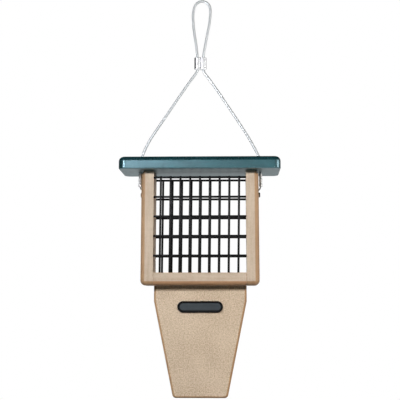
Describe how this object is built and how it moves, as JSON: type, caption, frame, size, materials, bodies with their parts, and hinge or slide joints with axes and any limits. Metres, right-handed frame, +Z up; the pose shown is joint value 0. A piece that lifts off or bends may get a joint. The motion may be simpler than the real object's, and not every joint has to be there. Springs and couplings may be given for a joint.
{
  "type": "tail-prop suet feeder",
  "caption": "Hanging bird feeder with a wire-mesh suet cage under a roof board that slides up its cable, and a long tapering tail board below.",
  "frame": {"origin": "point inside the top of the cable loop where the feeder hangs from its hook", "axes": "+Z up, +X to the right seen from the front, the front with the badge plate faces -Y"},
  "size_m": [0.2084, 0.0888, 0.5261],
  "materials": {
    "roof_plastic": "hunter green recycled plastic lumber, satin with a fine grain",
    "cage_plastic": "taupe recycled plastic lumber, fine mottled grain",
    "mesh_coat": "black vinyl-coated welded steel wire",
    "cable": "stranded steel under a clear vinyl coat",
    "ferrule": "bright pressed aluminium",
    "steel": "plain steel",
    "badge": "gloss black, bare"
  },
  "bodies": {
    "cage": {"side_board_left": "cage_plastic", "side_board_right": "cage_plastic", "bottom_rail": "cage_plastic", "tail_board": "cage_plastic", "badge_plate": "badge", "mesh_front": "mesh_coat", "mesh_back": "mesh_coat", "hanging_cable": "cable", "loop_ferrule": "ferrule", "end_sleeve_left": "ferrule", "end_sleeve_right": "ferrule", "cable_eye_left": "steel", "cable_eye_right": "steel", "cable_screw_left": "steel", "cable_screw_right": "steel", "rail_screw_left_front": "steel", "rail_screw_left_back": "steel", "rail_screw_right_front": "steel", "rail_screw_right_back": "steel", "tail_screw_left": "steel", "tail_screw_right": "steel"},
    "roof": {"roof_board": "roof_plastic"}
  },
  "joints": [
    {"name": "roof_slide", "type": "slide", "parent": "cage", "child": "roof", "axis": [0, 0, 1], "range_m": [0, 0.06], "deforming": ["hanging_cable"]}
  ]
}
